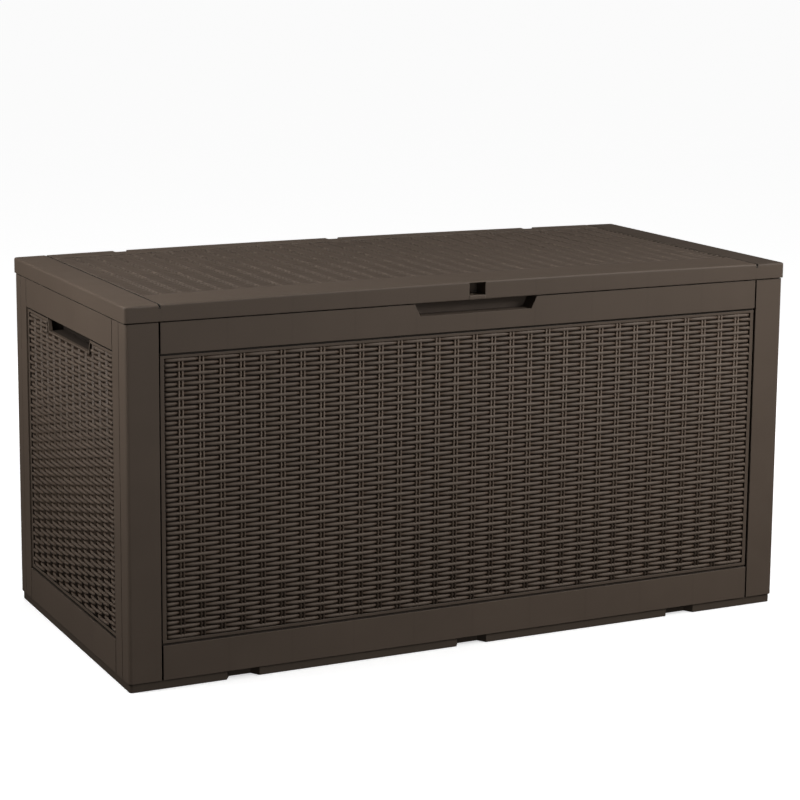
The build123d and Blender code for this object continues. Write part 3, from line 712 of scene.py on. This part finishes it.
# How strongly the floor glows near the object and far from it, and at what distances
FLOOR_GLOW = (0.55, STUDIO)
GLOW_RANGE = (0.7, 2.6)
DOME_RADIUS = 55.0
WORLD_STRENGTH = 0.04

# Softboxes: name, place, aim, width and height in m, power in W, and whether it shows in gloss
SOFTBOXES = (
    ("front_box", (1.3, -1.6, 1.7), (0.3, -0.2, 0.4), 1.2, 1.4, 37, True),
    ("fill_box", (-0.1, -3.4, 0.9), (0.0, 0.0, 0.35), 1.2, 0.9, 10, True),
    ("left_box", (-1.6, -0.1, 1.3), (0.5, -0.1, 0.5), 0.6, 0.8, 18.5, True),
    ("top_box", (-0.4, 0.3, 2.0), (-0.1, 0.0, 0.5), 1.4, 0.6, 3.2, True),
    ("back_box", (0.9, 2.2, 1.0), (0.0, 0.0, 0.3), 1.6, 1.0, 15, False),
    ("side_box", (2.6, 0.4, 0.8), (0.0, 0.0, 0.3), 1.2, 1.0, 14, True),
)


def studio_white(name, colour, glow):
    """Pale paint that glows more towards the distance, so that the studio has no dark end."""
    g = Graph(name)
    place = g.place()
    tone = g.spread(g.noise(place, 2.0, 3.0), 0.3, 0.7, 0.985, 1.0)
    far = g.add("VectorMath", {0: place}, operation="LENGTH").outputs["Value"]
    g.surface(
        Base_Color=g.scaled(colour, tone),
        Roughness=0.9,
        Specular_IOR_Level=0.1,
        Emission_Color=(1.0, 1.0, 1.0, 1.0),
        Emission_Strength=g.spread(far, *GLOW_RANGE, *glow),
    )
    return g.material


def backdrop(name, mesh, colour, glow):
    """A staged surface that the camera sees and that neither lights the object nor shows in it."""
    mesh.materials.append(studio_white(name, colour, glow))
    stage = bpy.data.objects.new(name, mesh)
    bpy.context.scene.collection.objects.link(stage)
    stage.visible_diffuse = False
    stage.visible_glossy = False
    return stage


def floor():
    mesh = bpy.data.meshes.new("floor")
    ends = ((-1, -1), (1, -1), (1, 1), (-1, 1))
    corners = [(x * FLOOR_SIZE, y * FLOOR_SIZE, 0) for x, y in ends]
    mesh.from_pydata(corners, [], [(0, 1, 2, 3)])
    plane = backdrop("floor", mesh, FLOOR_COLOUR, FLOOR_GLOW)
    plane.location.z = -FLOOR_DROP


def sky():
    """A dome over the floor, seen in low views."""
    shape = bmesh.new()
    bmesh.ops.create_uvsphere(shape, u_segments=48, v_segments=24, radius=DOME_RADIUS)
    mesh = bpy.data.meshes.new("dome")
    shape.to_mesh(mesh)
    shape.free()
    dome = backdrop("dome", mesh, (0.0, 0.0, 0.0), (STUDIO, STUDIO))
    dome.visible_shadow = False


def softbox(name, place, aim, width, height, power, glossy):
    lamp = bpy.data.lights.new(name, "AREA")
    lamp.shape = "RECTANGLE"
    lamp.size, lamp.size_y = width, height
    lamp.energy = power
    box = bpy.data.objects.new(name, lamp)
    box.location = place
    box.rotation_euler = (Vector(aim) - Vector(place)).to_track_quat("-Z", "Y").to_euler()
    box.visible_camera = False
    box.visible_glossy = glossy
    bpy.context.scene.collection.objects.link(box)


floor()
sky()
for row in SOFTBOXES:
    softbox(*row)

world = bpy.data.worlds.new("studio")
world.use_nodes = True
background = world.node_tree.nodes["Background"]
background.inputs["Color"].default_value = (STUDIO, STUDIO, STUDIO, 1.0)
background.inputs["Strength"].default_value = WORLD_STRENGTH
scene = bpy.context.scene
scene.world = world
scene.view_settings.view_transform = "Standard"
scene.view_settings.look = "None"
scene.view_settings.exposure = 0.0
scene.view_settings.gamma = 1.0

# ---------------------------------------------------------------- camera

CAMERA_PLACE = (-1.720, -3.521, 1.176)
CAMERA_TURN = math.radians(26.06)
CAMERA_DIP = math.radians(9.71)
CAMERA_ROLL = math.radians(0.47)
LENS = 102.4
SENSOR = 36.0
SHIFT = -0.1
CLIP = (0.05, 200.0)

lens = bpy.data.cameras.new("camera")
lens.sensor_width = SENSOR
lens.lens = LENS
lens.shift_y = SHIFT
lens.clip_start, lens.clip_end = CLIP
camera = bpy.data.objects.new("camera", lens)
scene.collection.objects.link(camera)
look = Vector(
    (
        math.sin(CAMERA_TURN) * math.cos(CAMERA_DIP),
        math.cos(CAMERA_TURN) * math.cos(CAMERA_DIP),
        -math.sin(CAMERA_DIP),
    )
)
right = Vector((math.cos(CAMERA_TURN), -math.sin(CAMERA_TURN), 0.0))
above = right.cross(look)
rolled_right = right * math.cos(CAMERA_ROLL) + above * math.sin(CAMERA_ROLL)
rolled_above = above * math.cos(CAMERA_ROLL) - right * math.sin(CAMERA_ROLL)
turn = Matrix((rolled_right, rolled_above, -look)).transposed()
camera.matrix_world = Matrix.Translation(Vector(CAMERA_PLACE)) @ turn.to_4x4()
scene.camera = camera
